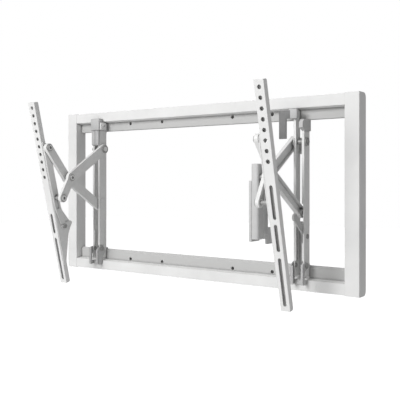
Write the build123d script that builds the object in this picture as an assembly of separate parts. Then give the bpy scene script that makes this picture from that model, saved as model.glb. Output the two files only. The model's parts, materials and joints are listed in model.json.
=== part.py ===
from build123d import *
import math
import os

# Pull-out tilting television wall bracket.
# Millimetres. X runs along the wall, -Y points into the room, +Z is up.
# The origin is on the wall plane, at the centre of the wall bolt rectangle.

# Wall frame
frame_width = 816.0
frame_height = 400.0
frame_depth = 32.0
rail_wall = 2.5
face_height = 23.0
step_rise = 3.0
lip_front = 14.5
flange_height = 46.5
seat_back = 8.5
seat_rise = 5.0
seat_wall = 2.0
port_radius = 2.2
port_wall = 2.4
port_corner = 6.5
stile_width = 31.0
stile_proud = 1.3
stile_front_proud = 0.8
stile_wall = 2.5
stile_back_radius = 10.0
edge_round = 1.0

# Wall bolts and frame screws
bolt_spacing_outer = 406.4
bolt_spacing_inner = 203.2
bolt_inset = 31.0
bolt_hole_radius = 4.0
sleeve_radius = 7.0
screw_clearance = 0.1
screw_head_radius = 4.6
screw_head_height = 2.6
screw_length = 16.0
screw_socket_radius = 1.5
screw_socket_depth = 1.2

# Places of the two sides along the wall
left_rail_inset = 90.0
right_rail_inset = 108.0

# Shared clearances
slide_gap = 0.3
pin_gap = 0.05
press_gap = 0.02

# Television rail
tv_rail_length = 445.0
tv_rail_width = 21.0
tv_rail_depth = 12.4
tv_rail_wall = 2.0
tv_rail_tilt = 13.2
tv_pin_along = 109.7541
tv_pin_behind = 10.3099
tv_hole_radius = 4.2
tv_slot_width = 7.2
tv_corner_radius = 4.0
left_hole_first = 12.7
left_hole_pitch = 18.5
left_hole_count = 10
left_slots = ((270.0, 318.5), (330.0, 436.5))
right_hole_first = 13.4
right_hole_pitch = 19.7
right_hole_count = 8
right_slots = ((196.0, 262.5), (272.0, 325.5), (338.0, 435.5))

# Hanger, its depths from the wall plane and its ends from the frame's
hanger_outer = 8.0
hanger_width = 24.0
hanger_sheet = 2.5
hanger_front = 39.0
hanger_foot_rise = 30.0
inner_plate_drop = 27.0
outer_plate_drop = 48.0
tongue_width = 16.0
tongue_reach = 7.0
hook_drop = 8.5
hook_back = 4.5
lip_width = 5.5
plate_corner = 6.0
ear_margin = 3.0
slot_margin = 2.0
low_web_top = -58.0
pivot_web_low = 25.0
pivot_web_high = 9.0
top_web_height = 8.0

# Scissor pivots at the pulled-out rest pose, as (Y, Z)
pivot_top = (-29.5, 107.0)
pivot_cross = (-142.0, 34.0)
pivot_low = (-169.0, -15.0)
pivot_tv = (-198.5, 104.5)
fold_most = 30.0
pull_most = 3.0
carrier_turn = -0.27

# Arms
arm_sheet = 2.5
long_arm_width = 24.0
long_arm_front_width = 20.0
long_arm_thickness = 8.0
short_arm_width = 22.0
short_arm_front_width = 20.0
short_arm_inner = 25.0
short_arm_thickness = 9.0
pivot_radius = 5.0
low_pin_radius = 4.5
slider_radius = 4.0
boss_wall = 3.0
top_head_radius = 10.0
low_head_radius = 9.0
cross_head_radius = 8.0
tv_head_radius = 8.0
head_thickness = 2.7
head_chamfer = 0.8
dish_radius = 6.6
dish_depth = 0.7
nut_thickness = 3.4
thread_proud = 1.5
collar_wall = 2.0
slider_collar_wall = 2.5
clip_thickness = 2.0
clip_wall = 2.3
boss_setback = 2.0
top_nut_across = 16.0
cross_nut_across = 12.5
socket_radius = 3.2
socket_depth = 1.6

# Tilt carrier and tilt plate
plate_sheet = 2.5
carrier_width = 20.0
carrier_foot_width = 18.0
tilt_plate_sheet = 2.0
tilt_bolt_reach = 196.0
tilt_bolt_radius = 3.0
tilt_bolt_head = 5.0
tilt_forward = 1.0
tilt_back = 6.0
tilt_margin = 3.5
flange_reach = 8.0
flange_start = 14.0
tilt_head_height = 4.0
tv_pin_relief = 0.5
weld_top = 92.0
weld_low = 335.0
wedge_top = 245.0
weld_inset = 1.5

# Head casting, caps, latch and stay, their levels from the frame's edges
head_front = 48.0
head_top_drop = 15.5
head_low_drop = 45.5
head_cheek = 5.0
head_outer = 20.0
head_round = 3.0
head_clearance = 1.5
level_bolt_y = -34.0
level_bolt_drop = 35.0
level_radius = 4.0
level_head = 12.0
level_head_height = 3.0
level_crown = 1.2
cap_front = 52.0
cap_drop = 71.0
cap_sheet = 3.5
cap_nose_width = 5.0
cap_nose_slope = 6.0
latch_pivot_y = -34.0
latch_pivot_rise = 53.0
latch_radius = 3.0
latch_sheet = 2.5
latch_front = 49.0
latch_foot_rise = 14.0
latch_boss_radius = 9.0
rivet_head_radius = 5.5
rivet_head = 2.0
rivet_tail_radius = 5.0
rivet_tail = 1.2
stay_pivot = (-24.5, -88.0)
stay_tip = (-70.0, -47.0)
stay_sheet = 3.0
stay_width = 13.0
stay_roller = 7.5
stay_roller_proud = 1.6
stay_head_radius = 4.5

# Closed housing that hangs on the right cross pin
housing_inner = 44.0
housing_width = 22.0
housing_front = 150.0
housing_back = 112.0
housing_top = 60.0
housing_low = -92.0
housing_round = 4.0
housing_top_round = 1.5
housing_foot_round = 2.5
cover_sheet = 3.0
cover_top = 15.0
cover_low = -97.0
cover_inset = 4.0
cover_round = 3.5
housing_pin_reach = 10.0

# Worked out from the values above
rail_half = frame_width / 2 - stile_width
half_height = frame_height / 2
bolt_spacing_height = frame_height - 2 * bolt_inset
left_rail_x = left_rail_inset - frame_width / 2
right_rail_x = frame_width / 2 - right_rail_inset
hanger_bottom = hanger_foot_rise - half_height
inner_plate_top = half_height - inner_plate_drop
outer_plate_top = half_height - outer_plate_drop
head_top = half_height - head_top_drop
head_low = half_height - head_low_drop
cap_low = half_height - cap_drop
level_bolt = (level_bolt_y, half_height - level_bolt_drop)
latch_pivot = (latch_pivot_y, latch_pivot_rise - half_height)
latch_low = latch_foot_rise - half_height
hanger_back = lip_front + slide_gap
hanger_inner = hanger_outer + hanger_width
lip_edge = half_height - flange_height
lip_back = lip_front - rail_wall
sleeve_z = bolt_spacing_height / 2
long_arm_back = hanger_inner + slide_gap
long_arm_face = long_arm_back + long_arm_thickness
short_arm_outer = short_arm_inner - short_arm_thickness
tilt_plate_face = tv_rail_width / 2 + tilt_plate_sheet
carrier_outer = tilt_plate_face + slide_gap
carrier_inner = carrier_outer + plate_sheet
pivot_slider = (pivot_top[0], 2 * pivot_cross[1] - pivot_top[1])
web_low = seat_rise + slide_gap - lip_edge
web_spans = (
    (web_low, low_web_top),
    (pivot_top[1] - pivot_web_low, pivot_top[1] + pivot_web_high),
    (outer_plate_top - top_web_height, outer_plate_top),
)
rail_lean = math.radians(tv_rail_tilt)
tv_rail_top_y = pivot_tv[0] - tv_pin_along * math.sin(rail_lean) - tv_pin_behind * math.cos(rail_lean)
tv_rail_top_z = pivot_tv[1] + tv_pin_along * math.cos(rail_lean) - tv_pin_behind * math.sin(rail_lean)


def turned(point, centre, degrees):
    """A (Y, Z) point turned about a centre."""
    angle = math.radians(degrees)
    y = point[0] - centre[0]
    z = point[1] - centre[1]
    new_y = centre[0] + y * math.cos(angle) - z * math.sin(angle)
    new_z = centre[1] + y * math.sin(angle) + z * math.cos(angle)
    return (new_y, new_z)


def distance(a, b):
    return math.hypot(b[0] - a[0], b[1] - a[1])


def between(a, b, along, aside=0.0):
    """The point a length along the line from a to b, and aside from it."""
    length = distance(a, b)
    y = (b[0] - a[0]) / length
    z = (b[1] - a[1]) / length
    return (a[0] + y * along - z * aside, a[1] + z * along + y * aside)


def on_rail(along, behind):
    """The (Y, Z) point on the tilted rail, from its top front edge."""
    tilt = math.radians(tv_rail_tilt)
    y = tv_rail_top_y + along * math.sin(tilt) + behind * math.cos(tilt)
    z = tv_rail_top_z - along * math.cos(tilt) + behind * math.sin(tilt)
    return (y, z)


def slab(profile, low, high):
    """Extrude a (Y, Z) profile between two places across the side."""
    return extrude(Plane.YZ.offset(low) * profile, amount=high - low, dir=(1, 0, 0))


def disc(point, radius):
    return Pos(point[0], point[1]) * Circle(radius)


def rod(point, radius, low, high):
    return slab(disc(point, radius), low, high)


def bar(a, b, width):
    """A flat bar with round ends, centred on two points."""
    middle = ((a[0] + b[0]) / 2, (a[1] + b[1]) / 2)
    angle = math.degrees(math.atan2(b[1] - a[1], b[0] - a[0]))
    shape = SlotCenterToCenter(distance(a, b), width)
    return Pos(middle[0], middle[1]) * Rot(0, 0, angle) * shape


def outline(*points):
    """A filled outline, whichever way round its points are given."""
    area = 0.0
    for start, end in zip(points, points[1:] + points[:1]):
        area += start[0] * end[1] - end[0] * start[1]
    if area < 0:
        points = points[::-1]
    return Polygon(*points, align=None)


def block(low, high, y_low, y_high, z_low, z_high):
    size = (high - low, y_high - y_low, z_high - z_low)
    middle = ((low + high) / 2, (y_low + y_high) / 2, (z_low + z_high) / 2)
    return Pos(*middle) * Box(*size)


def bolt_places():
    """The (X, Z) places of every wall bolt."""
    places = []
    for spacing in (bolt_spacing_outer, bolt_spacing_inner):
        for side in (-0.5, 0.5):
            for level in (-0.5, 0.5):
                places.append((side * spacing, level * bolt_spacing_height))
    return places


def port_places():
    """Screw port centres in a rail's section, as (Y, height from the edge)."""
    front = (-frame_depth + port_corner, port_corner)
    corner = port_radius + port_wall
    back = (-corner, half_height - sleeve_z - sleeve_radius - corner)
    return (front, back)


# Rails of the wall frame, drawn as the bottom rail from its lower edge up
def rail_profile(with_seat):
    wall = rail_wall
    depth = frame_depth
    face_end = face_height
    lip_start = face_height + step_rise
    profile = outline((-depth, 0), (0, 0), (0, wall), (-depth, wall))
    profile += outline((-depth, 0), (-depth + wall, 0), (-depth + wall, face_end), (-depth, face_end))
    step = (
        (-depth, face_end - wall),
        (-depth, face_end),
        (-lip_front, lip_start),
        (-lip_back, lip_start),
        (-lip_back, lip_start - wall),
    )
    profile += outline(*step)
    profile += outline(
        (-lip_front, lip_start - wall / 2),
        (-lip_back, lip_start - wall / 2),
        (-lip_back, flange_height),
        (-lip_front, flange_height),
    )
    profile += outline((-wall, 0), (0, 0), (0, flange_height), (-wall, flange_height))
    for place in port_places():
        profile += disc(place, port_radius + port_wall)
    for place in port_places():
        profile -= disc(place, port_radius)
    if with_seat:
        seat = (
            (-lip_front, flange_height),
            (-lip_back, flange_height - wall),
            (-seat_back, flange_height + seat_rise - seat_wall),
            (-seat_back, flange_height + seat_rise),
            (-seat_back - seat_wall, flange_height + seat_rise),
        )
        profile += outline(*seat)
    return profile


def make_rail(level, with_seat):
    shape = slab(rail_profile(with_seat), -rail_half, rail_half)
    shape = Pos(0, 0, -half_height) * shape
    if level > 0:
        shape = mirror(shape, about=Plane.XY)
    for x, z in bolt_places():
        if z * level > 0:
            hole = Pos(x, -lip_front / 2, z) * Rot(90, 0, 0)
            shape -= hole * Cylinder(bolt_hole_radius, lip_front + 2)
    return shape


def make_sleeves():
    length = lip_back - rail_wall
    middle = -(lip_back + rail_wall) / 2
    sleeves = []
    for x, z in bolt_places():
        tube = Cylinder(sleeve_radius, length) - Cylinder(bolt_hole_radius, length)
        sleeves.append(Pos(x, middle, z) * Rot(90, 0, 0) * tube)
    return sleeves


# End stiles, open at the back
def make_stile(side):
    depth = frame_depth + stile_front_proud
    height = half_height + stile_proud
    low = rail_half
    high = frame_width / 2
    profile = outline((-depth, -height), (0, -height), (0, height), (-depth, height))
    corners = profile.vertices().group_by(Axis.X)[-1]
    profile = fillet(corners, stile_back_radius)
    shape = slab(profile, low, high)
    fronts = shape.edges().filter_by(Axis.Z).group_by(Axis.Y)[0]
    shape = fillet(fronts, edge_round)
    wall = stile_wall
    shape -= block(low + wall, high - wall, -depth + wall, wall, -height + wall, height - wall)
    for y, z in screw_places():
        hole = rod((y, z), port_radius - screw_clearance / 2, low - 1, low + wall + 1)
        shape -= hole
    if side < 0:
        shape = mirror(shape, about=Plane.YZ)
    return shape


def screw_places():
    """The (Y, Z) places of the frame screws at each end."""
    places = []
    for y, rise in port_places():
        places.append((y, half_height - rise))
        places.append((y, rise - half_height))
    return places


def make_frame_screws():
    screws = []
    seat = rail_half + stile_wall
    for place in screw_places():
        head = rod(place, screw_head_radius, seat, seat + screw_head_height)
        crown = head.faces().sort_by(Axis.X)[-1]
        head = fillet(crown.edges(), edge_round)
        shank = rod(place, port_radius - screw_clearance, seat - screw_length, seat)
        top = seat + screw_head_height
        socket = rod(place, screw_socket_radius, top - screw_socket_depth, top + 1)
        screw = head + shank - socket
        screws.append(screw)
        screws.append(mirror(screw, about=Plane.YZ))
    return screws


# Hanger: a folded channel with a tongue behind the top lip and a hook over the seat
def make_hanger(side):
    outer = hanger_outer
    inner = hanger_inner
    sheet = hanger_sheet
    plate = outline(
        (-hanger_front, hanger_bottom),
        (-hanger_back, hanger_bottom),
        (-hanger_back, inner_plate_top),
        (-hanger_front + plate_corner, inner_plate_top),
        (-hanger_front, inner_plate_top - plate_corner),
    )
    short = outline(
        (-hanger_front, hanger_bottom),
        (-hanger_back, hanger_bottom),
        (-hanger_back, outer_plate_top),
        (-hanger_front, outer_plate_top),
    )
    ear = disc(pivot_top, hanger_front + pivot_top[0] + ear_margin)
    slot_top = (pivot_slider[0], slider_height(-pull_most) + slot_margin)
    slot_low = (pivot_slider[0], slider_height(fold_most) - slot_margin)
    slot = bar(slot_top, slot_low, 2 * (slider_radius + slide_gap))
    plate = plate + ear - slot
    latch_hole = disc(latch_pivot, latch_radius)
    pin_hole = disc(pivot_top, pivot_radius + press_gap)
    stay_hole = disc(stay_pivot, latch_radius)
    shape = slab(plate - latch_hole - pin_hole, inner - sheet, inner)
    if side > 0:
        short -= stay_hole
    shape += slab(short - latch_hole - pin_hole, outer, outer + sheet)
    lip_foot = latch_pivot[1] + latch_boss_radius + slide_gap
    lip_head = inner_plate_top - plate_corner
    lip_back_face = -hanger_front + sheet
    shape += block(inner - lip_width, inner, -hanger_front, lip_back_face, lip_foot, lip_head)
    stay_low = stay_pivot[1] - stay_width
    stay_high = stay_tip[1] + 2 * stay_width
    for low, high in ((lip_foot, stay_low), (stay_high, outer_plate_top)):
        shape += block(outer, outer + lip_width, -hanger_front, lip_back_face, low, high)
    for low, high in web_spans:
        shape += block(outer, inner, -hanger_back - sheet, -hanger_back, low, high)
    middle = (outer + inner) / 2
    low = middle - tongue_width / 2
    high = middle + tongue_width / 2
    tongue_front = -lip_back + slide_gap
    tongue_foot = lip_edge - slide_gap - sheet
    shape += block(low, high, -hanger_back, tongue_front + sheet, tongue_foot, tongue_foot + sheet)
    tongue_end = lip_edge + tongue_reach
    shape += block(low, high, tongue_front, tongue_front + sheet, tongue_foot, tongue_end)
    shape += block(low, high, -hanger_back, -hook_back, web_low, web_low + sheet)
    shape += block(low, high, -hook_back - sheet, -hook_back, web_low - hook_drop, web_low + sheet)
    return shape


def slider_height(fold):
    """Height of the short arm's sliding end at a fold angle."""
    cross = turned(pivot_cross, pivot_top, fold)
    return 2 * cross[1] - pivot_top[1]


def make_top_pivot():
    low = hanger_outer - nut_thickness - thread_proud
    high = long_arm_face + slide_gap
    shape = rod(pivot_top, pivot_radius, low, high)
    head = rod(pivot_top, top_head_radius, high, high + head_thickness)
    top = high + head_thickness
    head = chamfer(head.faces().sort_by(Axis.X)[-1].edges(), head_chamfer)
    dish = rod(pivot_top, dish_radius, top - dish_depth, top + 1)
    return shape + head - dish


def make_nut(point, radius, low, high, across):
    profile = Pos(point[0], point[1]) * RegularPolygon(across / 2, 6, major_radius=False)
    return slab(profile - disc(point, radius + press_gap), low, high)


def make_top_nut():
    low = hanger_outer - nut_thickness
    return make_nut(pivot_top, pivot_radius, low, hanger_outer, top_nut_across)


# Arms: pressed channels, bent at the cross pin
def channel_arm(ends, widths, low, high, web_low, web_high):
    first, cross, last = ends
    outside = bar(first, cross, widths[0]) + bar(cross, last, widths[1])
    inside = bar(first, cross, widths[0] - 2 * arm_sheet)
    inside += bar(cross, last, widths[1] - 2 * arm_sheet)
    shape = slab(outside, low, high)
    if web_low > low:
        shape -= slab(inside, low, web_low)
    else:
        shape -= slab(inside, web_high, high)
    return shape


def make_long_arm():
    low = long_arm_back
    high = long_arm_face
    ends = (pivot_top, pivot_cross, pivot_low)
    widths = (long_arm_width, long_arm_front_width)
    shape = channel_arm(ends, widths, low, high, high - arm_sheet, high)
    bores = (
        (pivot_top, pivot_radius + pin_gap),
        (pivot_cross, pivot_radius + press_gap),
        (pivot_low, low_pin_radius + press_gap),
    )
    for place, radius in bores:
        shape += rod(place, radius + boss_wall, low, high - arm_sheet)
    for place, radius in bores:
        shape -= rod(place, radius, low - 1, high + 1)
    return shape


def make_short_arm():
    low = short_arm_outer
    high = short_arm_inner
    ends = (pivot_slider, pivot_cross, pivot_tv)
    widths = (short_arm_width, short_arm_front_width)
    shape = channel_arm(ends, widths, low, high, high - arm_sheet, high)
    web = high - arm_sheet
    shape += rod(pivot_slider, slider_radius + boss_wall, low, web)
    shape += rod(pivot_cross, pivot_radius + boss_wall, web - arm_sheet, web)
    shape += rod(pivot_tv, pivot_radius + boss_wall, low + boss_setback, web)
    shape -= rod(pivot_slider, slider_radius + press_gap, low - 1, high + 1)
    shape -= rod(pivot_cross, pivot_radius + pin_gap, low - 1, high + 1)
    shape -= rod(pivot_tv, pivot_radius + pin_gap, low - 1, high + 1)
    return shape


def make_slider_pin():
    low = short_arm_outer
    high = hanger_inner - slide_gap
    shape = rod(pivot_slider, slider_radius, low, high)
    collar_end = hanger_inner - hanger_sheet - slide_gap
    collar_radius = slider_radius + slider_collar_wall
    return shape + rod(pivot_slider, collar_radius, short_arm_inner, collar_end)


def headed_pin(place, radius, head_radius, low, high):
    shape = rod(place, radius, low, high)
    head = rod(place, head_radius, high, high + head_thickness)
    head = chamfer(head.faces().sort_by(Axis.X)[-1].edges(), head_chamfer)
    top = high + head_thickness
    socket = rod(place, socket_radius, top - socket_depth, top + 1)
    return shape + head - socket


def make_cross_pin(side):
    low = short_arm_outer
    if side < 0:
        return headed_pin(pivot_cross, pivot_radius, cross_head_radius, low, long_arm_face)
    shape = rod(pivot_cross, pivot_radius, low, housing_inner + housing_pin_reach)
    collar_end = housing_inner - slide_gap
    return shape + rod(pivot_cross, cross_head_radius, long_arm_face, collar_end)


def make_cross_spacer():
    low = short_arm_inner + slide_gap / 2
    high = long_arm_back - slide_gap / 2
    ring = disc(pivot_cross, cross_head_radius) - disc(pivot_cross, pivot_radius + press_gap)
    return slab(ring, low, high)


def make_cross_nut():
    high = short_arm_inner - 2 * arm_sheet - slide_gap
    low = short_arm_outer
    return make_nut(pivot_cross, pivot_radius, low, high, cross_nut_across)


def make_low_pin():
    low = tilt_plate_face + slide_gap
    return headed_pin(pivot_low, low_pin_radius, low_head_radius, low, long_arm_face)


# Tilt carrier: the long arm's front pin runs in its slot
def tilt_bolt_place():
    """The tilt bolt stands clear behind the television rail's flange."""
    swing = math.radians(tilt_forward) * tilt_bolt_reach
    behind = tv_rail_depth + slide_gap + tilt_bolt_head + swing
    tilt = math.radians(tv_rail_tilt)
    top_y = tv_rail_top_y
    start_y = pivot_tv[0] - top_y
    start_z = pivot_tv[1] - tv_rail_top_z
    along = start_y * math.sin(tilt) - start_z * math.cos(tilt)
    depth = start_y * math.cos(tilt) + start_z * math.sin(tilt)
    drop = math.sqrt(tilt_bolt_reach ** 2 - (behind - depth) ** 2)
    return on_rail(along + drop, behind)


def carrier_slot():
    """The path of the long arm's front pin, seen from the carrier."""
    points = []
    for step in range(9):
        fold = -pull_most + step * (fold_most + pull_most) / 8
        low = turned(pivot_low, pivot_top, fold)
        cross = turned(pivot_cross, pivot_top, fold)
        shift = turned(pivot_tv, pivot_cross, -fold)
        tv = (shift[0] + cross[0] - pivot_cross[0], shift[1] + cross[1] - pivot_cross[1])
        seen = (low[0] - tv[0] + pivot_tv[0], low[1] - tv[1] + pivot_tv[1])
        points.append(turned(seen, pivot_tv, -carrier_turn * fold))
    return points


def make_carrier():
    bolt = tilt_bolt_place()
    path = carrier_slot()
    knee = path[-1]
    profile = bar(pivot_tv, knee, carrier_width) + bar(knee, bolt, carrier_foot_width)
    width = 2 * (low_pin_radius + slide_gap)
    for start, end in zip(path, path[1:]):
        profile -= bar(start, end, width)
    profile -= disc(pivot_tv, pivot_radius + press_gap)
    profile -= disc(bolt, tilt_bolt_radius + press_gap)
    shape = slab(profile, carrier_outer, carrier_inner)
    reach = distance(knee, bolt)
    edge = carrier_foot_width / 2
    flange = outline(
        between(knee, bolt, flange_start, edge - plate_sheet),
        between(knee, bolt, reach, edge - plate_sheet),
        between(knee, bolt, reach, edge),
        between(knee, bolt, flange_start, edge),
    )
    shape += slab(flange, carrier_outer, carrier_inner + flange_reach)
    return shape


def make_tv_pin():
    low = tv_rail_width / 2 - tv_rail_wall - slide_gap - clip_thickness
    high = short_arm_inner + slide_gap
    shape = headed_pin(pivot_tv, pivot_radius, tv_head_radius, low, high)
    collar_end = short_arm_outer + boss_setback - slide_gap
    return shape + rod(pivot_tv, pivot_radius + collar_wall, carrier_inner, collar_end)


def make_tv_pin_clip():
    high = tv_rail_width / 2 - tv_rail_wall - slide_gap
    ring = disc(pivot_tv, pivot_radius + clip_wall) - disc(pivot_tv, pivot_radius + press_gap)
    return slab(ring, high - clip_thickness, high)


# Tilt plate, welded to the television rail's inner flange
def make_tilt_plate():
    low = tv_rail_width / 2
    high = tilt_plate_face
    bolt = tilt_bolt_place()
    tilt_radius = tilt_bolt_radius + slide_gap
    flange = tv_rail_depth - weld_inset
    profile = outline(
        on_rail(weld_top, weld_inset),
        on_rail(weld_low, weld_inset),
        on_rail(weld_low, flange),
        on_rail(weld_top, flange),
    )
    profile += disc(pivot_tv, carrier_width / 2)
    front = turned(bolt, pivot_tv, -tilt_forward)
    back = turned(bolt, pivot_tv, tilt_back)
    middle = turned(bolt, pivot_tv, (tilt_back - tilt_forward) / 2)
    rim = tilt_radius + tilt_margin
    profile += bar(front, middle, 2 * rim) + bar(middle, back, 2 * rim)
    wedge = (
        on_rail(weld_low, flange - weld_inset),
        between(back, pivot_tv, -rim),
        between(back, pivot_tv, rim),
        on_rail(wedge_top, flange - weld_inset),
    )
    profile += outline(*wedge)
    steps = 4
    for step in range(steps):
        first = -tilt_forward + step * (tilt_back + tilt_forward) / steps
        last = first + (tilt_back + tilt_forward) / steps
        start = turned(bolt, pivot_tv, first)
        end = turned(bolt, pivot_tv, last)
        profile -= bar(start, end, 2 * tilt_radius)
    profile -= disc(pivot_tv, pivot_radius + pin_gap)
    return slab(profile, low, high)


def make_tilt_bolt():
    place = tilt_bolt_place()
    low = tv_rail_width / 2 - tv_rail_wall
    high = carrier_inner
    shape = rod(place, tilt_bolt_radius, low, high)
    head = Pos(*place) * RegularPolygon(tilt_bolt_head, 6, major_radius=False)
    return shape + slab(head, high, high + tilt_head_height)


def make_tilt_nut():
    place = tilt_bolt_place()
    low = tv_rail_width / 2 - tv_rail_wall
    high = tv_rail_width / 2 - slide_gap / 2
    ring = disc(place, tilt_bolt_head) - disc(place, tilt_bolt_radius + press_gap)
    return slab(ring, low, high)


# Television rail, drawn upright with its top front edge at the origin
def make_tv_rail(side):
    wide = tv_rail_width / 2
    wall = tv_rail_wall
    length = tv_rail_length
    shape = block(-wide, wide, 0, tv_rail_depth, -length, 0)
    backs = shape.edges().filter_by(Axis.X).group_by(Axis.Y)[-1]
    shape = fillet(backs, tv_corner_radius)
    fronts = shape.edges().filter_by(Axis.Z).group_by(Axis.Y)[0]
    shape = fillet(fronts, edge_round)
    shape -= block(-wide + wall, wide - wall, wall, tv_rail_depth + 1, -length - 1, 1)
    if side < 0:
        first, pitch, count, slots = left_hole_first, left_hole_pitch, left_hole_count, left_slots
    else:
        first, pitch, count, slots = right_hole_first, right_hole_pitch, right_hole_count, right_slots
    for index in range(count):
        hole = Pos(0, wall / 2, -first - index * pitch) * Rot(90, 0, 0)
        shape -= hole * Cylinder(tv_hole_radius, wall + 1)
    for start, end in slots:
        length = end - start
        slot = SlotOverall(length, tv_slot_width)
        cutter = extrude(slot, amount=wall + 1, both=True)
        shape -= Pos(0, 0, -(start + end) / 2) * Rot(90, 0, 0) * Rot(0, 0, 90) * cutter
    shape = Pos(0, tv_rail_top_y, tv_rail_top_z) * Rot(tv_rail_tilt, 0, 0) * shape
    shape -= rod(pivot_tv, pivot_radius + tv_pin_relief, 0, wide + 1)
    return shape


# Head casting and its square bolt
def make_head():
    cheek = hanger_inner + head_cheek
    front = -head_front
    back = -hanger_back - 1
    rail_front = -frame_depth - head_clearance
    shape = block(head_outer, cheek, front, -hanger_front, head_low, head_top)
    profile = outline(
        (front, head_low),
        (back, head_low),
        (back, inner_plate_top),
        (rail_front, inner_plate_top),
        (rail_front, head_top),
        (front, head_top),
    )
    shape += slab(profile, hanger_inner, cheek)
    fronts = shape.edges().filter_by(Axis.X).group_by(Axis.Y)[0]
    shape = fillet(fronts, head_round)
    return shape - rod(level_bolt, level_radius + press_gap, hanger_inner - 1, cheek + 1)


def make_level_bolt():
    cheek = hanger_inner + head_cheek
    crown = cheek + level_head_height
    profile = Pos(*level_bolt) * RectangleRounded(level_head, level_head, edge_round)
    head = slab(profile, cheek, crown)
    head += rod(level_bolt, level_head / 2 - edge_round, crown, crown + level_crown)
    return head + rod(level_bolt, level_radius, hanger_inner, cheek)


# Cap over the top of the outer plate
def make_cap():
    outer = hanger_outer
    slope = cap_nose_slope
    nose = (
        (-hanger_front, cap_low),
        (-cap_front, cap_low + slope),
        (-cap_front, outer_plate_top - slope),
        (-cap_front + slope, outer_plate_top),
        (-hanger_front, outer_plate_top),
    )
    cheek = ((-hanger_back - 1, outer_plate_top), (-hanger_back - 1, cap_low))
    shape = slab(outline(*nose, *cheek), outer - cap_sheet, outer)
    return shape + slab(outline(*nose), outer, outer + cap_nose_width)


# Foot latch: swings forward off the bottom rail
def make_latch():
    low = hanger_outer - slide_gap - latch_sheet
    high = hanger_inner + slide_gap + latch_sheet
    y, z = latch_pivot
    front = -latch_front
    profile = outline(
        (front, z + 3),
        (y, z + 9),
        (y + 11, z + 6),
        (y + 14, z - 3),
        (y + 4, z - 19),
        (-frame_depth - 1.2, z - 24),
        (-frame_depth - 1.2, latch_low),
        (front, latch_low),
    )
    shape = slab(profile, low, low + latch_sheet) + slab(profile, high - latch_sheet, high)
    shape += block(low, high, front, front + latch_sheet, latch_low, z + 3)
    for place in (low, high - latch_sheet):
        shape += rod(latch_pivot, latch_boss_radius, place, place + latch_sheet)
    shape -= rod(latch_pivot, latch_radius + pin_gap, low - 1, high + 1)
    return shape


def make_latch_rivets():
    """One rivet through each cheek, drawn on the inboard side first."""
    rivets = []
    for face, out in ((hanger_inner, 1), (hanger_outer, -1)):
        cheek = face + out * (slide_gap + latch_sheet)
        seat = cheek + out * slide_gap
        plate_back = face - out * hanger_sheet
        rivet = cylinder_between(latch_pivot, latch_radius, plate_back, seat)
        rivet += cylinder_between(latch_pivot, rivet_head_radius, seat, seat + out * rivet_head)
        tail = plate_back - out * rivet_tail
        rivet += cylinder_between(latch_pivot, rivet_tail_radius, plate_back, tail)
        rivets.append(rivet)
    return rivets


def cylinder_between(point, radius, first, last):
    return rod(point, radius, min(first, last), max(first, last))


# Stay: a small catch lever inside the hanger
def make_stay():
    low = hanger_outer + hanger_sheet + slide_gap
    shape = slab(bar(stay_pivot, stay_tip, stay_width), low, low + stay_sheet)
    shape += rod(stay_tip, stay_roller, low, low + stay_sheet + stay_roller_proud)
    return shape - rod(stay_pivot, latch_radius + pin_gap, low - 1, low + stay_sheet + 1)


def make_stay_rivet():
    low = hanger_outer + hanger_sheet + slide_gap
    head = low + stay_sheet + slide_gap
    shape = rod(stay_pivot, latch_radius, hanger_outer, head)
    shape += rod(stay_pivot, stay_head_radius, head, head + rivet_tail)
    return shape + rod(stay_pivot, rivet_tail_radius, hanger_outer - rivet_tail, hanger_outer)


# Closed housing on the right side
def make_housing():
    low = housing_inner
    high = housing_inner + housing_width
    shape = block(low, high, -housing_front, -housing_back, housing_low, housing_top)
    uprights = shape.edges().filter_by(Axis.Z)
    shape = fillet(uprights, housing_round)
    top = shape.faces().sort_by(Axis.Z)[-1]
    shape = fillet(top.edges(), housing_top_round)
    foot = block(low + 3, high - 8, -housing_back - 5, -housing_back + 9, housing_low - 8, housing_low + 26)
    shape += fillet(foot.edges().filter_by(Axis.X), housing_foot_round)
    end = low + housing_pin_reach
    return shape - rod(pivot_cross, pivot_radius + pin_gap, low - 1, end + slide_gap)


def make_housing_cover():
    low = housing_inner + housing_width
    profile = Pos(-(housing_front + housing_back) / 2, (cover_top + cover_low) / 2)
    width = housing_front - housing_back - 2 * cover_inset
    sheet = RectangleRounded(width, cover_top - cover_low, cover_round)
    return slab(profile * sheet, low, low + cover_sheet)


def placed(shape, side):
    """Move a piece from its side's own frame to its place on the wall."""
    if isinstance(shape, list):
        return [placed(piece, side) for piece in shape]
    if side < 0:
        return Pos(left_rail_x, 0, 0) * shape
    return Pos(right_rail_x, 0, 0) * mirror(shape, about=Plane.YZ)


def save(name, shape):
    if isinstance(shape, list):
        shape = Compound(children=shape)
    export_step(shape, "parts/" + name + ".step")


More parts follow.
